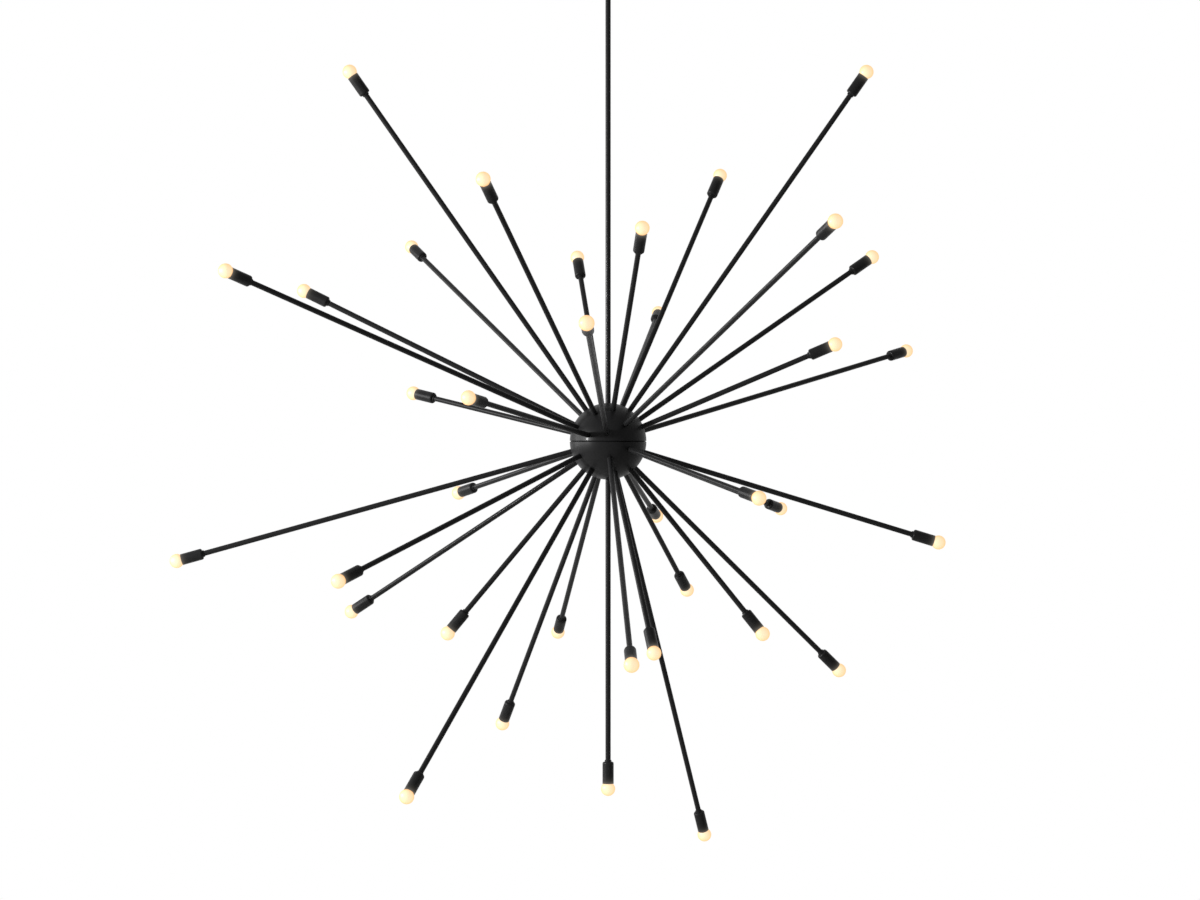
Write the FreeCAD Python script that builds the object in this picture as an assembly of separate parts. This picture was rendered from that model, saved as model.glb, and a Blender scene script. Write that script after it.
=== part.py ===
import FreeCAD, Part
import math
import os

# Sputnik chandelier: a round hub on a rigid stem, with 36 straight arms in three lengths.
# Millimetres. The origin is the middle of the ceiling plane and +Z points up, so the whole
# lamp hangs below zero. Bearings are measured from +X towards +Y, seen from above.

vector = FreeCAD.Vector
up = vector(0, 0, 1)

# hub: a thick-walled ball in two halves that meet at its equator
hub_radius = 92.0
hub_wall = 5.0
seam_gap = 1.6
ceiling_to_hub = 1340.0
land_depth = 0.4
land_radius = 8.6
recess_radius = 14.0
recess_depth = 1.0

# crowned ring that keeps the two halves in line
ring_half_height = 6.0
ring_thickness = 2.0
ring_crown = 1.5
ring_slack = 0.1

# arms and stem: half-inch tube, threaded at its ends
tube_radius = 6.35
tube_bore_radius = 5.25
pipe_thread_radius = 4.85
rod_bore_radius = 3.2
thread_engagement = 20.0
arm_inset = 5.0
rod_window = (20.0, 5.0, 36.0)
hub_nut_flats = 17.0
hub_nut_height = 7.0

# distance from the middle of the hub to the middle of the lamp, for each length of arm
arm_reach = {"long": 1080.0, "medium": 835.0, "short": 600.0}

# lamp end of an arm, heights measured outwards from the outside of the cup's floor
cup_radius = 13.5
cup_bore_radius = 12.3
cup_length = 53.0
cup_floor = 3.0
cup_corner = 2.4
neck_radius = 8.2
neck_length = 4.0
socket_radius = 9.5
socket_bore_radius = 6.9
socket_length = 26.0
socket_base = 5.0
lamp_cap_radius = 5.9
lamp_neck_radius = 8.0
globe_radius = 17.5
floor_to_lamp = 66.2

# twin lead inside every arm, and the mains lead inside the stem
lead_width = 4.2
lead_thickness = 2.2
lead_tail = 12.0
stem_lead_radius = 2.7
stem_lead_tail = 75.0

# canopy and ceiling strap
canopy_radius = 76.0
canopy_depth = 34.0
canopy_corner = 9.0
canopy_wall = 1.2
strap_length = 112.0
strap_width = 26.0
strap_thickness = 2.5
strap_hole_spacing = 88.9
strap_hole_radius = 2.3
nipple_radius = 6.35
nipple_bore_radius = 4.2
nipple_seat = 4.0
nipple_below_ceiling = 0.5
canopy_hole_slack = 0.5
strap_nut_flats = 19.0
strap_nut_height = 6.0
canopy_ring_radius = 14.0

# hang-straight swivel: two pins at right angles, one above the other
pin_radius = 4.0
running_clearance = 0.08
pin_hex_flats = 13.0
pin_head_height = 5.0
pin_nut_height = 5.5
pin_past_cheek = 7.0
pin_thread_slack = 0.15
cheek_gap = 12.6
cheek_thickness = 5.0
cheek_half_width = 9.0
cheek_below_pin = 8.1
eye_thickness = 12.0
eye_beyond_pin = 8.0
pin_to_web = 14.0
web_thickness = 7.0
boss_radius = 10.5
boss_end_radius = 8.2
upper_boss_height = 3.0
lower_boss_height = 14.0
pin_to_shoulder = 11.0
link_waist = 6.0
upper_pin_height = -66.0

# heights and distances that follow from the sizes above
lower_pin_height = upper_pin_height - 2 * pin_to_shoulder - link_waist
upper_fork_top = upper_pin_height + pin_to_web + web_thickness
lower_fork_base = lower_pin_height - pin_to_web - web_thickness
nipple_bottom = upper_fork_top - nipple_seat
stem_top = lower_fork_base - lower_boss_height
pole_land = hub_radius - land_depth
nut_land = hub_radius - hub_wall - recess_depth
stem_bottom = -ceiling_to_hub + pole_land

# flats that stand for the round on parts repeated on every arm, and on the spun shells
arm_sides = 6
fitting_sides = 12
shell_sides = 24
shell_bands = 6
canopy_sides = 36

# Drill chart of the hub: arm length, then degrees above the seam, then bearing.
# No two arms stand closer than 20 degrees, and none crosses the seam.
drill_chart = [
    ("long", 55.0, 357.5), ("long", 55.0, 183.0), ("medium", 53.0, 56.0), ("medium", 45.5, 241.0),
    ("long", 26.5, 301.0), ("short", 55.5, 283.5), ("long", 28.0, 122.5), ("short", 50.0, 101.5),
    ("medium", 33.0, 21.5), ("long", 21.0, 210.5), ("medium", 26.0, 170.5), ("long", 18.5, 82.5),
    ("long", 13.5, 267.5), ("short", 22.5, 346.0), ("long", 12.5, 43.0), ("short", 11.5, 145.5),
    ("short", 9.5, 237.5), ("short", -12.5, 130.0), ("short", -12.5, 306.0), ("medium", -12.0, 57.0),
    ("short", -18.5, 77.5), ("medium", -17.0, 3.0), ("long", -15.5, 178.0), ("medium", -22.5, 217.0),
    ("short", -38.5, 65.0), ("medium", -30.5, 152.5), ("medium", -36.0, 101.0), ("short", -50.0, 185.5),
    ("short", -49.5, 340.0), ("short", -55.0, 288.0), ("long", -26.5, 273.0), ("medium", -42.5, 22.5),
    ("medium", -57.5, 126.0), ("medium", -90.0, 0.0), ("long", -48.0, 231.0), ("long", -65.5, 57.5),
]

hub_centre = vector(0, 0, -ceiling_to_hub)


def ring(radius, height, sides):
    """Corners of a regular ring whose area is that of the circle of this radius."""
    step = 2 * math.pi / sides
    corner = radius * math.sqrt(step / math.sin(step))
    return [vector(corner * math.cos(step * i), corner * math.sin(step * i), height) for i in range(sides)]


def band(low, high):
    """Flat faces between two rings of equally many corners."""
    faces = []
    for i in range(len(low)):
        j = (i + 1) % len(low)
        faces.append(Part.Face(Part.makePolygon([low[i], low[j], high[j], high[i], low[i]])))
    return faces


def lid(radius, height, tip, sides):
    """Closes a ring on the axis: one flat face, or a fan when the tip is at another height."""
    corners = ring(radius, height, sides)
    if tip == height:
        return [Part.Face(Part.makePolygon(corners + [corners[0]]))]
    point = vector(0, 0, tip)
    fan = []
    for i in range(sides):
        fan.append(Part.Face(Part.makePolygon([corners[i], corners[(i + 1) % sides], point, corners[i]])))
    return fan


def turned(profile, sides):
    """Solid turned about Z from a closed profile of (radius, height), drawn with flats."""
    faces = []
    for i, (radius_a, height_a) in enumerate(profile):
        radius_b, height_b = profile[(i + 1) % len(profile)]
        if radius_a > 0 and radius_b > 0:
            faces += band(ring(radius_a, height_a, sides), ring(radius_b, height_b, sides))
        elif radius_a > 0:
            faces += lid(radius_a, height_a, height_b, sides)
        elif radius_b > 0:
            faces += lid(radius_b, height_b, height_a, sides)
    solid = Part.Solid(Part.Shell(faces))
    if solid.Volume < 0:
        solid.reverse()
    return solid


def tube(outer, inner, low, high, sides):
    return turned([(inner, low), (outer, low), (outer, high), (inner, high)], sides)


def bar(radius, low, high, sides):
    return turned([(0, low), (radius, low), (radius, high), (0, high)], sides)


def block(width, depth, low, high):
    """Box centred on the Z axis between two heights."""
    return Part.makeBox(width, depth, high - low, vector(-width / 2, -depth / 2, low))


def export(name, solids):
    shape = solids[0] if len(solids) == 1 else Part.makeCompound(solids)
    shape.exportStep("parts/" + name + ".step")


def direction(latitude, bearing):
    level = math.cos(math.radians(latitude))
    turn = math.radians(bearing)
    return vector(level * math.cos(turn), level * math.sin(turn), math.sin(math.radians(latitude)))


def along_arm(solid, latitude, bearing, distance):
    """Stands a solid on an arm's axis, its zero height this far from the middle of the hub."""
    axis = direction(latitude, bearing)
    solid.Placement = FreeCAD.Placement(hub_centre + axis * distance, FreeCAD.Rotation(up, axis))
    return solid


# ---- ceiling end ----

def ceiling_strap():
    strap = block(strap_length, strap_width, -strap_thickness, 0)
    drills = [bar(nipple_radius, -strap_thickness, 0, fitting_sides)]
    for side in (-1, 1):
        place = vector(side * strap_hole_spacing / 2, 0, -strap_thickness)
        drills.append(Part.makeCylinder(strap_hole_radius, strap_thickness, place))
    return strap.cut(drills)


def canopy():
    """Spun dish: its rim meets the ceiling and the nipple passes through its floor."""
    inner = canopy_radius - canopy_wall
    floor = -canopy_depth
    outside = [(canopy_radius, 0), (canopy_radius, floor + canopy_corner)]
    hole = nipple_radius + canopy_hole_slack
    bend = canopy_corner - canopy_wall / 2
    outside += [(canopy_radius - canopy_corner, floor), (hole, floor)]
    inside = [(hole, floor + canopy_wall), (inner - bend, floor + canopy_wall)]
    inside += [(inner, floor + canopy_wall + bend), (inner, 0)]
    return turned(outside + inside, canopy_sides)


def hexagon(across_flats, low, high):
    corner = across_flats / 2 / math.cos(math.pi / 6)
    corners = [vector(corner * math.cos(math.radians(60 * i)), corner * math.sin(math.radians(60 * i)), low)
               for i in range(6)]
    return Part.Face(Part.makePolygon(corners + [corners[0]])).extrude(vector(0, 0, high - low))


def hex_nut(across_flats, bore, low, high):
    return hexagon(across_flats, low, high).cut(bar(bore, low - 1, high + 1, fitting_sides))


def cheeks(pin_height, web_side):
    """Two upright cheeks with a web between them; web_side is 1 with the web above the pin."""
    width = 2 * cheek_half_width
    outer = cheek_gap + 2 * cheek_thickness
    open_end = pin_height - web_side * cheek_below_pin
    web_near = pin_height + web_side * pin_to_web
    web_far = web_near + web_side * web_thickness
    low, high = sorted((open_end, web_far))
    body = block(width, outer, low, high)
    slot_low, slot_high = sorted((open_end - web_side, web_near))
    return body.cut(block(width + 2, cheek_gap, slot_low, slot_high))


def cross_drill(radius, pin_height):
    """Cylinder across the lamp's axis, along Y, long enough to go through any fork."""
    reach = cheek_gap / 2 + 2 * cheek_thickness
    return Part.makeCylinder(radius, 2 * reach, vector(0, -reach, pin_height), vector(0, 1, 0))


def quarter_turn(solid):
    solid.rotate(vector(0, 0, 0), up, 90)
    return solid


def upper_fork():
    """Fork on the canopy nipple; the wires pass on through its web."""
    boss_top = upper_fork_top + upper_boss_height
    boss = bar(boss_radius, upper_fork_top, boss_top, fitting_sides)
    fork = cheeks(upper_pin_height, 1).fuse(boss)
    thread = bar(nipple_radius, nipple_bottom, boss_top + 1, fitting_sides)
    wire_way = bar(nipple_bore_radius, upper_fork_top - web_thickness - 1, boss_top, fitting_sides)
    return fork.cut([cross_drill(pin_radius, upper_pin_height), thread, wire_way]).removeSplitter()


def lower_fork():
    """Fork a quarter turn from the upper one, with a tapered boss that carries the stem."""
    fork = quarter_turn(cheeks(lower_pin_height, -1).cut(cross_drill(pin_radius, lower_pin_height)))
    taper = [(0, lower_fork_base), (boss_radius, lower_fork_base), (boss_end_radius, stem_top), (0, stem_top)]
    boss = turned(taper, fitting_sides)
    thread = bar(pipe_thread_radius, stem_top - 1, lower_fork_base, fitting_sides)
    wire_way = bar(rod_bore_radius, stem_top, lower_fork_base + web_thickness + 1, fitting_sides)
    return fork.fuse(boss).cut([thread, wire_way]).removeSplitter()


def swivel_link():
    """Two eyes at right angles; their shoulders stop each fork at just over 20 degrees."""
    width = 2 * cheek_half_width
    waist_top = upper_pin_height - pin_to_shoulder
    waist_bottom = lower_pin_height + pin_to_shoulder
    upper_eye = block(width, eye_thickness, waist_top, upper_pin_height + eye_beyond_pin)
    upper_eye = upper_eye.cut(cross_drill(pin_radius + running_clearance, upper_pin_height))
    lower_eye = block(width, eye_thickness, lower_pin_height - eye_beyond_pin, waist_bottom)
    lower_eye = lower_eye.cut(cross_drill(pin_radius + running_clearance, lower_pin_height))
    waist = block(width, width, waist_bottom, waist_top)
    return upper_eye.fuse([waist, quarter_turn(lower_eye)]).removeSplitter()


def pin_and_nut(pin_height):
    """Bolt along Y with a hexagon head at one end, and its nut at the other."""
    reach = cheek_gap / 2 + cheek_thickness
    shank = Part.makeCylinder(pin_radius, 2 * reach + pin_past_cheek, vector(0, 0, -reach))
    bolt = shank.fuse(hexagon(pin_hex_flats, -reach - pin_head_height, -reach)).removeSplitter()
    nut = hex_nut(pin_hex_flats, pin_radius + pin_thread_slack, reach, reach + pin_nut_height)
    for piece in (bolt, nut):
        piece.rotate(vector(0, 0, 0), vector(1, 0, 0), -90)
        piece.translate(vector(0, 0, pin_height))
    return bolt, nut


# ---- stem and hub ----

def hub_half(upper):
    """Half of the ball, with a flat land at its pole for the tube that butts on it."""
    outside = []
    inside = []
    inner_radius = hub_radius - hub_wall
    rise = 90.0 / shell_bands
    for i in range(shell_bands):
        angle = math.radians(rise * i)
        outside.append((hub_radius * math.cos(angle), max(hub_radius * math.sin(angle), seam_gap / 2)))
    for i in range(0, shell_bands, 2):
        angle = math.radians(rise * i)
        inside.append((inner_radius * math.cos(angle), max(inner_radius * math.sin(angle), seam_gap / 2)))
    half = turned(outside + [(land_radius, pole_land), (0, pole_land), (0, seam_gap / 2)], shell_sides)
    hollow = turned(inside + [(recess_radius, nut_land), (0, nut_land), (0, seam_gap / 2)], shell_sides // 2)
    half = half.cut(hollow)
    if not upper:
        half.rotate(vector(0, 0, 0), vector(1, 0, 0), 180)
    half.translate(hub_centre)
    drills = [bar(pipe_thread_radius, -hub_radius, hub_radius, fitting_sides).translated(hub_centre)]
    for length, latitude, bearing in drill_chart:
        if (latitude > 0) == upper and abs(latitude) < 90:
            drill = bar(tube_radius, -2 * hub_wall, 2 * hub_wall, arm_sides)
            drills.append(along_arm(drill, latitude, bearing, hub_radius))
    return half.cut(drills)


def seam_ring():
    """Crowned band inside the seam: it keeps the halves in line and shows as the dark line between them."""
    crown = hub_radius - hub_wall - ring_slack
    edge = crown - ring_crown
    bore = edge - ring_thickness
    profile = [(bore, -ring_half_height), (edge, -ring_half_height), (crown, 0)]
    profile += [(edge, ring_half_height), (bore, ring_half_height)]
    return turned(profile, shell_sides // 2).translated(hub_centre)


def tie_rod():
    """Hollow threaded rod from the stem through the hub into the bottom arm, with a window for leads."""
    end = pole_land + thread_engagement
    rod = tube(pipe_thread_radius, rod_bore_radius, -end, end, fitting_sides)
    depth, width, height = rod_window
    window = Part.makeBox(depth, width, height, vector(0, -width / 2, -height / 2))
    return rod.cut(window).translated(hub_centre)


# ---- arms ----

def arm_tube(length, latitude):
    """Tube from inside the hub wall to the floor of the cup."""
    inner_end = pole_land if abs(latitude) == 90 else hub_radius - hub_wall - arm_inset
    outer_end = arm_reach[length] - floor_to_lamp + cup_floor
    return tube(tube_radius, tube_bore_radius, inner_end, outer_end, arm_sides)


def socket_cup():
    """Cup with a rounded heel and the small neck that screws on the arm."""
    outside = [(tube_radius, -neck_length), (neck_radius, -neck_length), (neck_radius, 0)]
    outside += [(cup_radius, cup_corner), (cup_radius, cup_length)]
    inside = [(cup_bore_radius, cup_length), (cup_bore_radius, cup_floor), (tube_radius, cup_floor)]
    return turned(outside + inside, arm_sides)


def candle_socket():
    """Insulating barrel standing on the floor of the cup, with a closed base."""
    top = cup_floor + socket_length
    bore_floor = cup_floor + socket_base
    outside = [(0, cup_floor), (socket_radius, cup_floor), (socket_radius, top)]
    inside = [(socket_bore_radius, top), (socket_bore_radius, bore_floor), (0, bore_floor)]
    return turned(outside + inside, arm_sides)


def globe_lamp():
    """Round lamp: cap in the socket, short neck, and a globe that fills the mouth of the cup."""
    neck_angle = math.degrees(math.acos(lamp_neck_radius / globe_radius))
    profile = [(0, cup_floor + socket_base), (lamp_cap_radius, cup_floor + socket_base)]
    profile.append((lamp_cap_radius, cup_floor + socket_length))
    for angle in (-neck_angle, -15.0, 35.0):
        turn = math.radians(angle)
        profile.append((globe_radius * math.cos(turn), floor_to_lamp + globe_radius * math.sin(turn)))
    profile.append((0, floor_to_lamp + globe_radius))
    return turned(profile, arm_sides)


def twin_lead(length):
    """Flat twin lead from the base of the socket to the inside of the hub."""
    inner_end = hub_radius - hub_wall - lead_tail
    return block(lead_width, lead_thickness, inner_end, arm_reach[length] - floor_to_lamp + cup_floor)


os.makedirs("parts", exist_ok=True)

export("ceiling_strap", [ceiling_strap()])
export("canopy", [canopy()])
nipple = tube(nipple_radius, nipple_bore_radius, nipple_bottom, -nipple_below_ceiling, fitting_sides)
export("canopy_nipple", [nipple])
strap_nut = hex_nut(strap_nut_flats, nipple_radius, -strap_thickness - strap_nut_height, -strap_thickness)
export("strap_nut", [strap_nut])
ring_bottom = upper_fork_top + upper_boss_height
canopy_ring = tube(canopy_ring_radius, nipple_radius, ring_bottom, -canopy_depth, fitting_sides)
export("canopy_ring", [canopy_ring])
export("upper_fork", [upper_fork()])
upper_pin, upper_pin_nut = pin_and_nut(upper_pin_height)
export("upper_pin", [upper_pin])
export("upper_pin_nut", [upper_pin_nut])
export("swivel_link", [swivel_link()])
lower_pin, lower_pin_nut = pin_and_nut(lower_pin_height)
export("lower_pin", [quarter_turn(lower_pin)])
export("lower_pin_nut", [quarter_turn(lower_pin_nut)])
export("lower_fork", [lower_fork()])

export("stem", [tube(tube_radius, tube_bore_radius, stem_bottom, stem_top, fitting_sides)])
nipple_end = stem_top - thread_engagement
stem_nipple = tube(pipe_thread_radius, rod_bore_radius, nipple_end, lower_fork_base, fitting_sides)
export("stem_nipple", [stem_nipple])
export("stem_lead", [bar(stem_lead_radius, stem_bottom - stem_lead_tail, lower_fork_base, arm_sides)])
export("hub_upper_half", [hub_half(True)])
export("hub_lower_half", [hub_half(False)])
export("seam_ring", [seam_ring()])
export("tie_rod", [tie_rod()])
hub_nut = hex_nut(hub_nut_flats, pipe_thread_radius, nut_land - hub_nut_height, nut_land)
export("hub_nut", [hub_nut.translated(hub_centre)])

cups = []
sockets = []
lamps = []
leads = []
for number, (length, latitude, bearing) in enumerate(drill_chart, start=1):
    floor_at = arm_reach[length] - floor_to_lamp
    export("arm_tube_%02d" % number, [along_arm(arm_tube(length, latitude), latitude, bearing, 0)])
    cups.append(along_arm(socket_cup(), latitude, bearing, floor_at))
    sockets.append(along_arm(candle_socket(), latitude, bearing, floor_at))
    lamps.append(along_arm(globe_lamp(), latitude, bearing, floor_at))
    leads.append(along_arm(twin_lead(length), latitude, bearing, 0))
export("socket_cups", cups)
export("lamp_sockets", sockets)
export("globe_lamps", lamps)
export("arm_leads", leads)
print("arms:", len(drill_chart))
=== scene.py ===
import math

import bmesh
import bpy
import numpy as np
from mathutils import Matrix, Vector


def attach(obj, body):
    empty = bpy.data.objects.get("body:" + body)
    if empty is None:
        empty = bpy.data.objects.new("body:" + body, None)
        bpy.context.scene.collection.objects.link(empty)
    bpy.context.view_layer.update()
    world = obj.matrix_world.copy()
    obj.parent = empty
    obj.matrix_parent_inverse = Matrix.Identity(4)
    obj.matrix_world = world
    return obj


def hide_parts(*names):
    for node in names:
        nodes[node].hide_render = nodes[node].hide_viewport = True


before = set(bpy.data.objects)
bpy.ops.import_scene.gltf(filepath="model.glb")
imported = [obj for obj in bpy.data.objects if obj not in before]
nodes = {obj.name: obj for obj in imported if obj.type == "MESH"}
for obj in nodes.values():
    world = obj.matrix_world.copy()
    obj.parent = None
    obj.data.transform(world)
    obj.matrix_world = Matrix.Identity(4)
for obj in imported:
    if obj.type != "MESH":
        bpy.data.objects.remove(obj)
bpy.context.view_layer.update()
mm = 0.001
up = np.array([0.0, 0.0, 1.0])
ceiling = np.zeros(3)  # the frame's origin lies in the ceiling plane, and heights below it are negative


def hexColour(code):  # sRGB hex to linear, with alpha 1
    parts = np.array([int(code[i:i + 2], 16) for i in (1, 3, 5)]) / 255
    linear = np.where(parts <= 0.04045, parts / 12.92, ((parts + 0.055) / 1.055) ** 2.4)
    return (*linear.tolist(), 1.0)


def addNode(tree, kind, values={}, links={}, **settings):  # one node, with its settings, values and links
    node = tree.nodes.new(kind)
    for name, value in settings.items():
        setattr(node, name, value)
    for socket, value in values.items():
        node.inputs[socket].default_value = value
    for socket, source in links.items():
        tree.links.new(source, node.inputs[socket])
    return node


def newMaterial(name):  # a node tree with only its output, and the piece's own coordinates in metres
    material = bpy.data.materials.new(name)
    material.use_nodes = True
    tree = material.node_tree
    tree.nodes.clear()
    output = addNode(tree, "ShaderNodeOutputMaterial")
    coordinates = addNode(tree, "ShaderNodeTexCoord").outputs["Object"]
    return material, tree, output, coordinates


def nodePoints(name):  # the different corners of a CAD node, in metres
    mesh = nodes[name].data
    points = np.empty(len(mesh.vertices) * 3)
    mesh.vertices.foreach_get("co", points)
    return np.unique(points.reshape(-1, 3).round(7), axis=0)


def perpendiculars(axis):  # two unit vectors square to the axis and to each other
    side = np.cross(axis, (0, 0, 1) if abs(axis[2]) < 0.9 else (1, 0, 0))
    side = side / np.linalg.norm(side)
    return side, np.cross(axis, side)


def filleted(corners, closed=False, steps=5, share=0.45):
    # Rounds a line of (height, radius, fillet) corners. Each arc is its centre plus the two spokes weighted
    # by sin((1 - w) q) / sin q and sin(w q) / sin q, and starts no further from its corner than this share
    # of the shorter leg. A point just outside each end of the arc keeps the shading of straight runs flat.
    hold = 0.08
    points = np.array([corner[:2] for corner in corners], float)
    count = len(points)
    line = []
    for i, (here, corner) in enumerate(zip(points, corners)):
        if corner[2] == 0 or (not closed and i in (0, count - 1)):
            line.append(here[None])
            continue
        legs = [points[i - 1] - here, points[(i + 1) % count] - here]
        lengths = [np.linalg.norm(leg) for leg in legs]
        first, second = [leg / length for leg, length in zip(legs, lengths)]
        angle = math.acos(np.clip(first @ second, -1, 1))
        reach = min(corner[2] / math.tan(angle / 2), share * min(lengths))
        radius = reach * math.tan(angle / 2)
        centre = here + (first + second) / np.linalg.norm(first + second) * radius / math.sin(angle / 2)
        sweep = math.pi - angle
        w = np.linspace(0, 1, steps + 1)[:, None]
        spokes = here + first * reach - centre, here + second * reach - centre
        arc = centre + (spokes[0] * np.sin((1 - w) * sweep) + spokes[1] * np.sin(w * sweep)) / math.sin(sweep)
        outer = reach + hold * reach
        line += [(here + first * outer)[None], arc, (here + second * outer)[None]]
    return np.concatenate(line)


def turnedArrays(profile, start, axis, segments, closed=False, wave=None):
    # Surface of revolution: start + axis h + (r + wave(h, t)) (side cos t + other sin t), one ring of points
    # for each (height, radius) of the profile. Faces are turned outwards by the sign of the volume. On the
    # map, u runs round the axis and v along the profile, both from 0 to 1.
    profile = np.asarray(profile, float)
    side, other = perpendiculars(axis)
    turn = np.linspace(0, 2 * np.pi, segments, endpoint=False)
    heights, radii = profile[:, :1], profile[:, 1:] + np.zeros(segments)
    if wave is not None:
        radii = radii + wave(heights, turn)
    spoke = side * np.cos(turn)[:, None] + other * np.sin(turn)[:, None]
    points = (start + axis * heights[..., None] + radii[..., None] * spoke).reshape(-1, 3)
    bands = len(profile) if closed else len(profile) - 1
    row, column = np.arange(bands)[:, None], np.arange(segments)[None, :]
    index = np.arange(len(points)).reshape(-1, segments)
    after, ahead = (row + 1) % len(profile), (column + 1) % segments
    faces = np.stack([index[row, column], index[row, ahead], index[after, ahead], index[after, column]], -1)
    faces = faces.reshape(-1, 4)
    steps = np.linalg.norm(np.roll(profile, -1, 0) - profile, axis=1)
    along = np.concatenate([[0], np.cumsum(steps)]) / steps[:bands].sum()
    u = np.stack([column, column + 1, column + 1, column], -1) / segments + np.zeros((bands, 1, 1))
    v = np.stack([along[row], along[row], along[row + 1], along[row + 1]], -1) + np.zeros((1, segments, 1))
    uv = np.stack([u, v], -1).reshape(-1, 4, 2)
    a, b, c, d = (points[faces[:, i]] - start for i in range(4))
    if (np.cross(a, b) * c).sum() + (np.cross(a, c) * d).sum() < 0:
        faces, uv = faces[:, ::-1], uv[:, ::-1]
    return points, faces, uv


def newPiece(name, mesh, *materials):  # an object at the origin with smooth faces
    mesh.shade_smooth()
    for material in materials:
        mesh.materials.append(material)
    piece = bpy.data.objects.new(name, mesh)
    bpy.context.scene.collection.objects.link(piece)
    return piece


def meshPiece(name, parts, *materials):
    # One piece from any number of (points, faces, uv) parts, with doubles at the poles merged.
    offsets = np.cumsum([0] + [len(part[0]) for part in parts])
    points = np.concatenate([part[0] for part in parts])
    faces = np.concatenate([part[1] + offset for part, offset in zip(parts, offsets)])
    mesh = bpy.data.meshes.new(name)
    mesh.from_pydata(points.tolist(), [], faces.tolist())
    layer = mesh.uv_layers.new(name="UVMap")
    layer.uv.foreach_set("vector", np.concatenate([part[2] for part in parts]).astype(np.float32).ravel())
    work = bmesh.new()
    work.from_mesh(mesh)
    bmesh.ops.remove_doubles(work, verts=work.verts, dist=1e-7)
    work.to_mesh(mesh)
    work.free()
    return newPiece(name, mesh, *materials)


def place(piece, body, node):  # what every new piece says: what it rides on and its CAD node, which it hides
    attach(piece, body)
    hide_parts(node)


def softened(name, node, width, material):
    # Copy of a CAD node, merged, with its flat faces joined and its edges rounded to this width in mm.
    soft = {"flatDegrees": 1, "sharpDegrees": 40, "segments": 3}
    work = bmesh.new()
    work.from_mesh(nodes[node].data)
    bmesh.ops.remove_doubles(work, verts=work.verts, dist=1e-6)
    bmesh.ops.dissolve_limit(work, angle_limit=math.radians(soft["flatDegrees"]), verts=work.verts,
                             edges=work.edges)
    bmesh.ops.recalc_face_normals(work, faces=work.faces)
    mesh = bpy.data.meshes.new(name)
    work.to_mesh(mesh)
    work.free()
    piece = newPiece(name, mesh, material)
    bevel = piece.modifiers.new("soft edges", "BEVEL")
    bevel.width, bevel.segments, bevel.limit_method = width * mm, soft["segments"], "ANGLE"
    bevel.angle_limit = math.radians(soft["sharpDegrees"])
    bevel.harden_normals, bevel.use_clamp_overlap = True, True
    return piece


def powderCoat(name, paintedLampLightEnd=None):
    # Polyester powder, sprayed and baked on steel: near black and satin. Its orange peel, at the coarse end
    # of the real one so that it shows, breaks highlights up, and its thin glossy skin gives the small bright
    # spot on the ball. On the cups it also carries painted light: an emission that stands in for the light
    # the lamp throws back along the outer end.
    look = {"dark": "#171717", "light": "#1F1F20", "roughness": (0.37, 0.45), "peelMm": 5,
            "peelDepthMm": 0.004, "patchMm": 60, "specular": 0.07, "skin": 0.035, "skinRoughness": 0.14,
            "paintedLightColour": "#FFF4E2", "paintedLightLevel": 0.13, "paintedLightReachMm": 5}
    material, tree, output, coordinates = newMaterial(name)
    peel = addNode(tree, "ShaderNodeTexNoise", {"Scale": 1 / (look["peelMm"] * mm), "Detail": 2.0},
                   {"Vector": coordinates})
    patch = addNode(tree, "ShaderNodeTexNoise", {"Scale": 1 / (look["patchMm"] * mm), "Detail": 3.0},
                    {"Vector": coordinates})
    rough = addNode(tree, "ShaderNodeMapRange", {"From Min": 0.3, "From Max": 0.7,
                    "To Min": look["roughness"][0], "To Max": look["roughness"][1]},
                    {"Value": patch.outputs["Fac"]})
    colour = addNode(tree, "ShaderNodeMix", {"A": hexColour(look["dark"]), "B": hexColour(look["light"])},
                     {"Factor": peel.outputs["Fac"]}, data_type="RGBA")
    bump = addNode(tree, "ShaderNodeBump", {"Strength": 1.0, "Distance": look["peelDepthMm"] * mm},
                   {"Height": peel.outputs["Fac"]})
    shader = addNode(tree, "ShaderNodeBsdfPrincipled", {"Specular IOR Level": look["specular"],
                     "Diffuse Roughness": 1.0, "Coat Weight": look["skin"],
                     "Coat Roughness": look["skinRoughness"]},
                     {"Base Color": colour.outputs["Result"], "Roughness": rough.outputs["Result"],
                      "Normal": bump.outputs["Normal"]})
    if paintedLampLightEnd:
        # The second argument gives v at the cup's mouth and the length of its whole profile in mm. The painted
        # glow, an emission that stands in for the lamp's light on the cup, is level e^(-d / reach), where d is
        # the distance back from the mouth along the profile.
        mouth, length = paintedLampLightEnd
        run = addNode(tree, "ShaderNodeSeparateXYZ", {}, {0: addNode(tree, "ShaderNodeUVMap").outputs["UV"]})
        back = addNode(tree, "ShaderNodeMapRange", {"From Min": 0.0, "From Max": mouth,
                       "To Min": -mouth * length / look["paintedLightReachMm"], "To Max": 0.0},
                       {"Value": run.outputs["Y"]})
        fall = addNode(tree, "ShaderNodeMath", {0: math.e}, {1: back.outputs["Result"]}, operation="POWER")
        glow = addNode(tree, "ShaderNodeMath", {1: look["paintedLightLevel"]}, {0: fall.outputs[0]},
                       operation="MULTIPLY")
        shader.inputs["Emission Color"].default_value = hexColour(look["paintedLightColour"])
        tree.links.new(glow.outputs[0], shader.inputs["Emission Strength"])
    tree.links.new(shader.outputs["BSDF"], output.inputs["Surface"])
    return material


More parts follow.
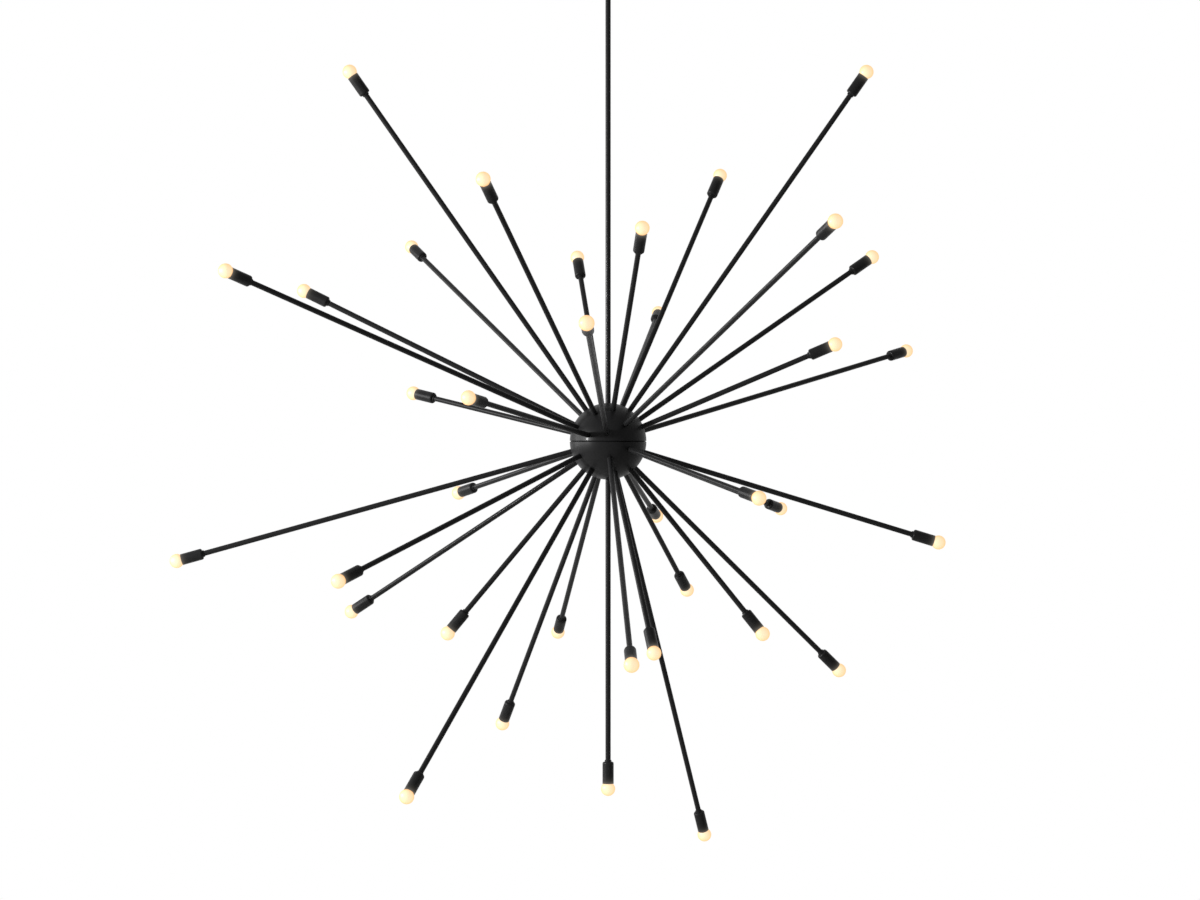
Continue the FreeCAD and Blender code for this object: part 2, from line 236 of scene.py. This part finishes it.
def seamShadeBlack():
    # A dead, slightly blotchy black, darker than the paint: painted shade that makes the seam a dark line.
    look = {"dark": "#050505", "blotch": "#0B0B0C", "blotchMm": 9, "roughness": 0.75, "specular": 0.05}
    material, tree, output, coordinates = newMaterial("paintedSeamShade")
    blotch = addNode(tree, "ShaderNodeTexNoise", {"Scale": 1 / (look["blotchMm"] * mm), "Detail": 3.0},
                     {"Vector": coordinates})
    colour = addNode(tree, "ShaderNodeMix", {"A": hexColour(look["dark"]), "B": hexColour(look["blotch"])},
                     {"Factor": blotch.outputs["Fac"]}, data_type="RGBA")
    shader = addNode(tree, "ShaderNodeBsdfPrincipled", {"Roughness": look["roughness"],
                     "Specular IOR Level": look["specular"]}, {"Base Color": colour.outputs["Result"]})
    tree.links.new(shader.outputs["BSDF"], output.inputs["Surface"])
    return material


def zincPlate():
    # Bright zinc plate on drawn steel: cool grey metal, slightly cloudy, finely scratched.
    look = {"grey": "#A9ADB2", "cloud": "#8C9096", "roughness": (0.28, 0.42), "cloudMm": 6,
            "scratchMm": 0.4, "scratchDepthMm": 0.01, "scratchStrength": 0.4}
    material, tree, output, coordinates = newMaterial("brightZincPlate")
    cloud = addNode(tree, "ShaderNodeTexNoise", {"Scale": 1 / (look["cloudMm"] * mm), "Detail": 4.0},
                    {"Vector": coordinates})
    scratch = addNode(tree, "ShaderNodeTexNoise", {"Scale": 1 / (look["scratchMm"] * mm), "Detail": 1.0},
                      {"Vector": coordinates})
    colour = addNode(tree, "ShaderNodeMix", {"A": hexColour(look["grey"]), "B": hexColour(look["cloud"])},
                     {"Factor": cloud.outputs["Fac"]}, data_type="RGBA")
    rough = addNode(tree, "ShaderNodeMapRange", {"To Min": look["roughness"][0],
                    "To Max": look["roughness"][1]}, {"Value": cloud.outputs["Fac"]})
    bump = addNode(tree, "ShaderNodeBump", {"Strength": look["scratchStrength"],
                   "Distance": look["scratchDepthMm"] * mm}, {"Height": scratch.outputs["Fac"]})
    shader = addNode(tree, "ShaderNodeBsdfPrincipled", {"Metallic": 1.0},
                     {"Base Color": colour.outputs["Result"], "Roughness": rough.outputs["Result"],
                      "Normal": bump.outputs["Normal"]})
    tree.links.new(shader.outputs["BSDF"], output.inputs["Surface"])
    return material


def mouldedPhenolic():
    # Compression-moulded phenolic resin: brown black, dull, with a faint flow mottle.
    look = {"dark": "#120F0D", "brown": "#231B16", "mottleMm": 4, "roughness": 0.5, "ior": 1.6}
    material, tree, output, coordinates = newMaterial("mouldedPhenolic")
    mottle = addNode(tree, "ShaderNodeTexNoise", {"Scale": 1 / (look["mottleMm"] * mm), "Detail": 3.0},
                     {"Vector": coordinates})
    colour = addNode(tree, "ShaderNodeMix", {"A": hexColour(look["dark"]), "B": hexColour(look["brown"])},
                     {"Factor": mottle.outputs["Fac"]}, data_type="RGBA")
    shader = addNode(tree, "ShaderNodeBsdfPrincipled", {"Roughness": look["roughness"], "IOR": look["ior"]},
                     {"Base Color": colour.outputs["Result"]})
    tree.links.new(shader.outputs["BSDF"], output.inputs["Surface"])
    return material


def leadInsulation():
    # Extruded PVC on the leads: off white, smooth, a little uneven in tone.
    look = {"pale": "#DEDCD4", "shade": "#CFCCC2", "bandMm": 8, "roughness": 0.4}
    material, tree, output, coordinates = newMaterial("extrudedPvc")
    uneven = addNode(tree, "ShaderNodeTexNoise", {"Scale": 1 / (look["bandMm"] * mm), "Detail": 1.0},
                     {"Vector": coordinates})
    colour = addNode(tree, "ShaderNodeMix", {"A": hexColour(look["pale"]), "B": hexColour(look["shade"])},
                     {"Factor": uneven.outputs["Fac"]}, data_type="RGBA")
    shader = addNode(tree, "ShaderNodeBsdfPrincipled", {"Roughness": look["roughness"]},
                     {"Base Color": colour.outputs["Result"]})
    tree.links.new(shader.outputs["BSDF"], output.inputs["Surface"])
    return material


def litOpalGlass():
    # Opal glass with a lit filament behind it: an even warm white with a faint mottle. The tinted coat
    # stands for the glass's own thickness, which light crosses aslant near the outline, so the rim turns
    # amber.
    look = {"glow": "#F9F8EF", "warmer": "#F8F4E6", "strength": 1.05, "rim": "#FFE7CA", "rimIor": 1.06,
            "rimRoughness": 0.1, "body": "#84827C", "mottleMm": 14, "roughness": 0.45}
    material, tree, output, coordinates = newMaterial("litOpalGlass")
    mottle = addNode(tree, "ShaderNodeTexNoise", {"Scale": 1 / (look["mottleMm"] * mm), "Detail": 1.0},
                     {"Vector": coordinates})
    glow = addNode(tree, "ShaderNodeMix", {"A": hexColour(look["glow"]), "B": hexColour(look["warmer"])},
                   {"Factor": mottle.outputs["Fac"]}, data_type="RGBA")
    shader = addNode(tree, "ShaderNodeBsdfPrincipled", {"Base Color": hexColour(look["body"]),
                     "Roughness": look["roughness"], "Emission Strength": look["strength"],
                     "Coat Weight": 1.0, "Coat IOR": look["rimIor"], "Coat Tint": hexColour(look["rim"]),
                     "Coat Roughness": look["rimRoughness"]}, {"Emission Color": glow.outputs["Result"]})
    tree.links.new(shader.outputs["BSDF"], output.inputs["Surface"])
    return material


blackPaint, zinc, phenolic = powderCoat("satinBlackPowderCoat"), zincPlate(), mouldedPhenolic()
pvc, opal = leadInsulation(), litOpalGlass()
print("finishes made")

# The hub's middle is half way between its halves, and each arm's axis points from there to its tube's middle.
upperHalf, lowerHalf = nodePoints("hub_upper_half"), nodePoints("hub_lower_half")
hubCentre = np.array([0, 0, (upperHalf[:, 2].min() + lowerHalf[:, 2].max()) / 2])
armCount = 36
arms = []
for number in range(1, armCount + 1):
    name = f"arm_tube_{number:02d}"
    points = nodePoints(name) - hubCentre
    axis = points.mean(axis=0)
    axis = axis / np.linalg.norm(axis)
    along = points @ axis
    arms.append((name, axis, along.min(), along.max()))
print("arms read:", len(arms), "hub middle at", hubCentre.round(4).tolist())

tube = {"radius": 6.35, "bore": 5.25, "edge": 0.3, "boreEdge": 0.2, "segments": 32, "stemSegments": 48}


def tubeLine(low, high):  # closed line round a tube's wall, between two heights in metres
    ends = [(low / mm, tube["bore"], tube["boreEdge"]), (low / mm, tube["radius"], tube["edge"]),
            (high / mm, tube["radius"], tube["edge"]), (high / mm, tube["bore"], tube["boreEdge"])]
    return filleted(ends, closed=True, steps=2) * mm


for number, (name, axis, inner, outer) in enumerate(arms, start=1):
    arrays = turnedArrays(tubeLine(inner, outer), hubCentre, axis, tube["segments"], True)
    place(meshPiece(f"armTube{number:02d}", [arrays], blackPaint), "pendant", name)
print("arm tubes turned")

# Heights are measured from the outside of the cup's floor. The arm ends on the floor's inside, 3 mm above.
cup = {"radius": 13.5, "bore": 12.3, "length": 53, "floor": 3, "heel": 4.2, "neck": 8.2, "neckLength": 4,
       "armHole": 6.4, "lip": 0.35, "neckEdge": 0.8, "neckRoot": 0.5, "holeEdge": 0.15, "floorRoot": 1.2,
       "segments": 48}
socket = {"radius": 9.5, "bore": 6.9, "length": 26, "base": 5, "footEdge": 0.5, "topEdge": 0.6,
          "boreRoot": 0.8, "segments": 24}
lamp = {"radius": 17.05, "middle": 65.3, "neck": 8.0, "cap": 5.9, "capEdge": 1,
        "shoulders": ((5, 7.2), (12, 7.8)), "segments": 48, "rings": 22}

cupLine = filleted([(cup["floor"], cup["armHole"], 0), (-cup["neckLength"], cup["armHole"], cup["holeEdge"]),
                    (-cup["neckLength"], cup["neck"], cup["neckEdge"]), (0, cup["neck"], cup["neckRoot"]),
                    (0, cup["radius"], cup["heel"]), (cup["length"], cup["radius"], cup["lip"]),
                    (cup["length"], cup["bore"], cup["lip"]), (cup["floor"], cup["bore"], cup["floorRoot"])],
                   closed=True, steps=4, share=0.85)
socketTop = cup["floor"] + socket["length"]
socketBase = cup["floor"] + socket["base"]
socketLine = filleted([(cup["floor"], 0, 0), (cup["floor"], socket["radius"], socket["footEdge"]),
                       (socketTop, socket["radius"], socket["topEdge"]),
                       (socketTop, socket["bore"], socket["topEdge"]),
                       (socketBase, socket["bore"], socket["boreRoot"]), (socketBase, 0, 0)], steps=3)
# The lamp's cap and shoulders are straight runs. Its globe is middle + r sin a, r cos a, from the neck's
# angle to the tip.
neckAngle = math.acos(lamp["neck"] / lamp["radius"])
sweep = np.linspace(-neckAngle, math.pi / 2, lamp["rings"])
globe = np.stack([lamp["middle"] + lamp["radius"] * np.sin(sweep), lamp["radius"] * np.cos(sweep)], 1)
globe[-1, 1] = 0
lampCap = [(socketBase, 0), (socketBase, lamp["cap"] - lamp["capEdge"]),
           (socketBase + lamp["capEdge"], lamp["cap"]), (socketTop, lamp["cap"])]
lampShoulders = [(socketTop + rise, radius) for rise, radius in lamp["shoulders"]]
lampLine = np.concatenate([lampCap, lampShoulders, globe])

cups, sockets, lamps = [], [], []
for name, axis, inner, outer in arms:
    foot = hubCentre + axis * (outer - cup["floor"] * mm)
    cups.append(turnedArrays(cupLine * mm, foot, axis, cup["segments"], True))
    sockets.append(turnedArrays(socketLine * mm, foot, axis, socket["segments"]))
    lamps.append(turnedArrays(lampLine * mm, foot, axis, lamp["segments"]))
strides = np.linalg.norm(np.roll(cupLine, -1, 0) - cupLine, axis=1)
mouthAt = int(np.argmax(cupLine[:, 0]))
# The cups' paint carries a painted glow near the mouth: emission that stands in for the lamp's light on it.
cupPaint = powderCoat("satinBlackPowderCoatPaintedLampLight", (strides[:mouthAt].sum() / strides.sum(), strides.sum()))
place(meshPiece("lampCups", cups, cupPaint), "pendant", "socket_cups")
place(meshPiece("candleSockets", sockets, phenolic), "pendant", "lamp_sockets")
place(meshPiece("roundLamps", lamps, opal), "pendant", "globe_lamps")
print("cups, sockets and lamps turned")

hub = {"radius": 92, "wall": 5, "seamGap": 2.4, "seamLip": 0.6, "land": 8.6, "landDrop": 0.4,
       "rodHole": 4.85, "recess": 14, "recessDepth": 1, "holeSlack": 0.12, "holeChamfer": 0.5,
       "chamferRun": 0.15, "segments": 128, "rings": 36}
drillBit = {"reach": 12, "flare": 8, "segments": 48}


def hubHalf(name, sign, node):
    # Half of a thick ball: an outer arc from the seam to the flat land at the pole and an inner arc back,
    # turned about Z, then drilled square to each arm's line. The arm that points straight down stands on
    # the land instead, over the rod's hole.
    radius, inner = hub["radius"], hub["radius"] - hub["wall"]
    gap = hub["seamGap"] / 2
    low = math.asin((gap + hub["seamLip"]) / radius)
    top = math.acos(hub["land"] / radius)
    angles = np.linspace(low, top, hub["rings"])
    outside = np.stack([radius * np.sin(angles), radius * np.cos(angles)], 1)
    seam = np.linspace(0, math.pi / 2, 5)[:-1]
    lip = np.stack([gap + hub["seamLip"] * (1 - np.cos(seam)),
                    radius * math.cos(low) - hub["seamLip"] * (1 - np.sin(seam))], 1)
    flat, nutSeat = radius - hub["landDrop"], inner - hub["recessDepth"]
    land = [(flat, hub["land"]), (flat, hub["rodHole"]), (nutSeat, hub["rodHole"]), (nutSeat, hub["recess"])]
    innerAngles = np.linspace(math.acos(hub["recess"] / inner), math.asin(gap / inner), hub["rings"] // 2)
    inside = np.stack([inner * np.sin(innerAngles), inner * np.cos(innerAngles)], 1)
    line = np.concatenate([lip, outside, land, inside]) * [sign, 1]
    shell = meshPiece(name, [turnedArrays(line * mm, hubCentre, up, hub["segments"], True)], blackPaint)

    hole = tube["radius"] + hub["holeSlack"]
    wide = hole + hub["holeChamfer"]
    reach = drillBit["reach"]
    cutLine = np.array([(-reach, 0), (-reach, hole), (-hub["holeChamfer"] - hub["chamferRun"], hole), (0, wide),
                        (reach, wide + drillBit["flare"]), (reach, 0)])
    cutters = [turnedArrays(cutLine * mm, hubCentre + axis * radius * mm, axis, drillBit["segments"])
               for _, axis, _, _ in arms if 0 < axis[2] * sign < 0.99]
    drill = meshPiece(name + "Drill", cutters)
    cut = shell.modifiers.new("drilled", "BOOLEAN")
    cut.object, cut.operation, cut.solver = drill, "DIFFERENCE", "EXACT"
    drilled = bpy.data.meshes.new_from_object(shell.evaluated_get(bpy.context.evaluated_depsgraph_get()))
    shell.modifiers.clear()
    shell.data = drilled
    drilled.name = name
    bpy.data.objects.remove(drill)

    # Every face corner gets the true direction of the form it belongs to, so long thin faces round the holes
    # don't show: radial where the face lies on one of the two arcs, and the face's own direction on the
    # seam, the land and the holes.
    corner = np.empty(len(drilled.loops), np.int32)
    drilled.loops.foreach_get("vertex_index", corner)
    points = np.empty(len(drilled.vertices) * 3)
    drilled.vertices.foreach_get("co", points)
    fromMiddle = (points.reshape(-1, 3) - hubCentre)[corner]
    sizes = np.empty(len(drilled.polygons), np.int32)
    drilled.polygons.foreach_get("loop_total", sizes)
    facing = np.empty(len(drilled.polygons) * 3)
    drilled.polygons.foreach_get("normal", facing)
    facing = np.repeat(facing.reshape(-1, 3), sizes, axis=0)
    radial = fromMiddle / np.linalg.norm(fromMiddle, axis=1, keepdims=True)
    onArc, level, nearPole = 0.985, 0.9999, 0.9
    match = (radial * facing).sum(axis=1, keepdims=True)
    normals = np.where(match > onArc, radial, np.where(match < -onArc, -radial, facing))
    flatLand = (np.abs(facing[:, 2:]) > level) & (np.abs(fromMiddle[:, 2:]) > nearPole * radius * mm)
    normals = np.where(flatLand, facing, normals)
    drilled.shade_smooth()
    drilled.normals_split_custom_set(normals.tolist())
    place(shell, "pendant", node)


hubHalf("hubUpperShell", 1, "hub_upper_half")
hubHalf("hubLowerShell", -1, "hub_lower_half")

# Ring behind the seam, alike above and below the equator, with a rib that stands in the gap.
band = {"halfHeight": 6, "bore": 83.4, "edge": 85.4, "edgeRound": 0.3, "shoulder": (1.6, 86.7),
        "ribRoot": 86.8, "rib": 90, "ribHalf": 1.15, "ribRound": 0.2, "segments": 128}
upperSide = [(band["ribHalf"], band["rib"], band["ribRound"]), (band["ribHalf"], band["ribRoot"], 0),
             (*band["shoulder"], 0), (band["halfHeight"], band["edge"], band["edgeRound"]),
             (band["halfHeight"], band["bore"], band["edgeRound"])]
lowerSide = [(-height, radius, fillet) for height, radius, fillet in reversed(upperSide)]
bandArrays = turnedArrays(filleted(lowerSide + upperSide, closed=True, steps=2) * mm, hubCentre, up,
                          band["segments"], True)
# The ring's finish is painted shade: darker than the paint so that the seam reads as a dark line.
place(meshPiece("seamBand", [bandArrays], seamShadeBlack()), "pendant", "seam_ring")
print("hub halves turned and drilled")

stem = nodePoints("stem")[:, 2]
stemArrays = turnedArrays(tubeLine(stem.min(), stem.max()), ceiling, up, tube["stemSegments"], True)
place(meshPiece("stemTube", [stemArrays], blackPaint), "pendant", "stem")

canopy = {"radius": 76, "depth": 34, "corner": 9, "wall": 1.2, "hole": 6.85, "rimRound": 0.4,
          "holeRound": 0.3, "segments": 96}
canopyInner, canopyFloor = canopy["radius"] - canopy["wall"], canopy["wall"] - canopy["depth"]
canopyLine = filleted([(0, canopy["radius"], canopy["rimRound"]),
                       (-canopy["depth"], canopy["radius"], canopy["corner"]),
                       (-canopy["depth"], canopy["hole"], canopy["holeRound"]),
                       (canopyFloor, canopy["hole"], canopy["holeRound"]),
                       (canopyFloor, canopyInner, canopy["corner"] - canopy["wall"]),
                       (0, canopyInner, canopy["rimRound"])], closed=True, steps=10)
canopyArrays = turnedArrays(canopyLine * mm, ceiling, up, canopy["segments"], True)
place(meshPiece("canopyDish", [canopyArrays], blackPaint), "ceiling_mount", "canopy")

ringNut = {"low": -42, "high": -34, "radius": 13.9, "bore": 6.4, "lowRound": 1.2, "highRound": 0.6,
           "boreRound": 0.3, "knurl": (-41, -34.8), "teeth": 40, "depth": 0.22, "segments": 240}


def knurlWave(heights, turn):  # depth (cos(teeth t) - 1) between the knurl's two heights, and nothing outside
    low, high = ringNut["knurl"]
    inside = np.where((heights < high * mm) & (heights > low * mm), 1, 0)
    return inside * ringNut["depth"] * mm * (np.cos(ringNut["teeth"] * turn) - 1)


ringLine = filleted([(ringNut["low"], ringNut["bore"], ringNut["boreRound"]),
                     (ringNut["low"], ringNut["radius"], ringNut["lowRound"]),
                     (ringNut["high"], ringNut["radius"], ringNut["highRound"]),
                     (ringNut["high"], ringNut["bore"], ringNut["boreRound"])], closed=True, steps=4)
ringArrays = turnedArrays(ringLine * mm, ceiling, up, ringNut["segments"], True, knurlWave)
place(meshPiece("canopyRingNut", [ringArrays], blackPaint), "ceiling_mount",
      "canopy_ring")
print("stem, canopy and ring turned")

# The last number is the width of the rounded edges in mm.
for name, node, body, slot, material, width in [
        ("upperFork", "upper_fork", "ceiling_mount", "black_powder_coat", blackPaint, 0.7),
        ("swivelLink", "swivel_link", "swivel_link", "black_powder_coat", blackPaint, 0.7),
        ("lowerFork", "lower_fork", "pendant", "black_powder_coat", blackPaint, 0.7),
        ("upperPin", "upper_pin", "ceiling_mount", "zinc_steel", zinc, 0.35),
        ("upperPinNut", "upper_pin_nut", "ceiling_mount", "zinc_steel", zinc, 0.35),
        ("lowerPin", "lower_pin", "pendant", "zinc_steel", zinc, 0.35),
        ("lowerPinNut", "lower_pin_nut", "pendant", "zinc_steel", zinc, 0.35),
        ("ceilingStrap", "ceiling_strap", "ceiling_mount", "zinc_steel", zinc, 0.3),
        ("strapNut", "strap_nut", "ceiling_mount", "zinc_steel", zinc, 0.4)]:
    place(softened(name, node, width, material), body, node)
print("swivel and strap softened")

# Pieces hidden inside the tubes and the ball keep their CAD shape.
for node, material in [("arm_leads", pvc), ("stem_lead", pvc), ("tie_rod", zinc), ("hub_nut", zinc),
                       ("stem_nipple", zinc), ("canopy_nipple", zinc)]:
    nodes[node].data.materials.clear()
    nodes[node].data.materials.append(material)
print("hidden pieces finished")

# Lengths in metres and powers in watts. Each lamp stands at its distance from the hub, in its direction. The
# floor is floorWhite parts white out to fadeStart, and fades to all white at fadeEnd of its radius.
studio = {"floor": "#ECEBE8", "floorHeight": -2.95, "floorRadius": 4.1, "floorWhite": 0.8,
          "fadeStart": 1.0, "fadeEnd": 0.98, "floorSides": 128, "fillLevel": 0.06,
          "keyFrom": (-0.907, -0.411, 0.106), "keyDistance": 4.2, "keySize": (0.4, 0.4), "keyPower": 310,
          "sideFrom": (-0.985, 0.12, 0.1), "sideDistance": 3.6, "sideSize": (2.6, 1.8), "sidePower": 130}


def seesBackground(tree):  # 1 for camera, glossy and transmission rays, and 0 for the rays that light things
    rays = addNode(tree, "ShaderNodeLightPath")
    seen = addNode(tree, "ShaderNodeMath", {}, {0: rays.outputs["Is Camera Ray"],
                   1: rays.outputs["Is Glossy Ray"]}, operation="MAXIMUM")
    seen = addNode(tree, "ShaderNodeMath", {}, {0: seen.outputs[0], 1: rays.outputs["Is Transmission Ray"]},
                   operation="MAXIMUM")
    return seen.outputs[0]


def paleFloor():
    # Matt pale disc, a polygon of (r cos t, r sin t). It keeps a soft share of the shadow in its middle and
    # runs out smoothly to the white background at its edge.
    turn = np.linspace(0, 2 * np.pi, studio["floorSides"], endpoint=False)
    points = np.stack([np.cos(turn), np.sin(turn), 0 * turn], 1) * studio["floorRadius"]
    points[:, 2] = studio["floorHeight"]
    mesh = bpy.data.meshes.new("floor")
    mesh.from_pydata(points.tolist(), [], [list(range(studio["floorSides"]))])
    material, tree, output, coordinates = newMaterial("paintedFloor")
    level = addNode(tree, "ShaderNodeVectorMath", {1: (1, 1, 0)}, {0: coordinates}, operation="MULTIPLY")
    away = addNode(tree, "ShaderNodeVectorMath", {}, {0: level.outputs[0]}, operation="LENGTH")
    fade = addNode(tree, "ShaderNodeMapRange", {"From Min": studio["fadeStart"],
                   "From Max": studio["fadeEnd"] * studio["floorRadius"], "To Min": studio["floorWhite"]},
                   {"Value": away.outputs["Value"]}, interpolation_type="SMOOTHSTEP")
    matt = addNode(tree, "ShaderNodeBsdfDiffuse", {"Color": hexColour(studio["floor"])})
    white = addNode(tree, "ShaderNodeEmission", {"Color": (1, 1, 1, 1), "Strength": 1.0})
    factor = addNode(tree, "ShaderNodeMath", {}, {0: seesBackground(tree), 1: fade.outputs["Result"]},
                     operation="MULTIPLY")
    mixed = addNode(tree, "ShaderNodeMixShader", {}, {0: factor.outputs[0], 1: matt.outputs[0],
                    2: white.outputs[0]})
    tree.links.new(mixed.outputs[0], output.inputs["Surface"])
    mesh.materials.append(material)
    floor = bpy.data.objects.new("floor", mesh)
    bpy.context.scene.collection.objects.link(floor)


def areaLamp(name, toLamp, distance, size, power):  # at hub + direction x distance, turned to face the hub
    data = bpy.data.lights.new(name, "AREA")
    data.shape, data.size, data.size_y, data.energy = "RECTANGLE", size[0], size[1], power
    lampObject = bpy.data.objects.new(name, data)
    bpy.context.scene.collection.objects.link(lampObject)
    direction = Vector(toLamp).normalized()
    lampObject.location = Vector(hubCentre) + direction * distance
    lampObject.rotation_euler = direction.to_track_quat("Z", "Y").to_euler()


paleFloor()
areaLamp("keyLamp", studio["keyFrom"], studio["keyDistance"], studio["keySize"], studio["keyPower"])
areaLamp("sideLamp", studio["sideFrom"], studio["sideDistance"], studio["sideSize"], studio["sidePower"])

# The world is white where it is seen and lights the object only with the fill level.
world = bpy.data.worlds.new("studio")
bpy.context.scene.world = world
world.use_nodes = True
tree = world.node_tree
tree.nodes.clear()
level = addNode(tree, "ShaderNodeMapRange", {"To Min": studio["fillLevel"], "To Max": 1.0},
                {"Value": seesBackground(tree)})
back = addNode(tree, "ShaderNodeBackground", {"Color": (1, 1, 1, 1)}, {"Strength": level.outputs["Result"]})
addNode(tree, "ShaderNodeOutputWorld", {}, {"Surface": back.outputs["Background"]})

# The camera stands level with the hub. The shift sets the hub right of the frame's middle and above it.
view = {"distance": 9.36, "lens": 117, "sensor": 36, "shift": (-8.1 / 1200, -8.7 / 1200), "clipEnd": 100}
cameraData = bpy.data.cameras.new("camera")
cameraData.lens, cameraData.sensor_width = view["lens"], view["sensor"]
cameraData.shift_x, cameraData.shift_y = view["shift"]
cameraData.clip_end = view["clipEnd"]
camera = bpy.data.objects.new("camera", cameraData)
bpy.context.scene.collection.objects.link(camera)
camera.location = (0, -view["distance"], hubCentre[2])
camera.rotation_euler = (math.pi / 2, 0, 0)
bpy.context.scene.camera = camera
bpy.context.scene.view_settings.view_transform = "Standard"
print("studio set")
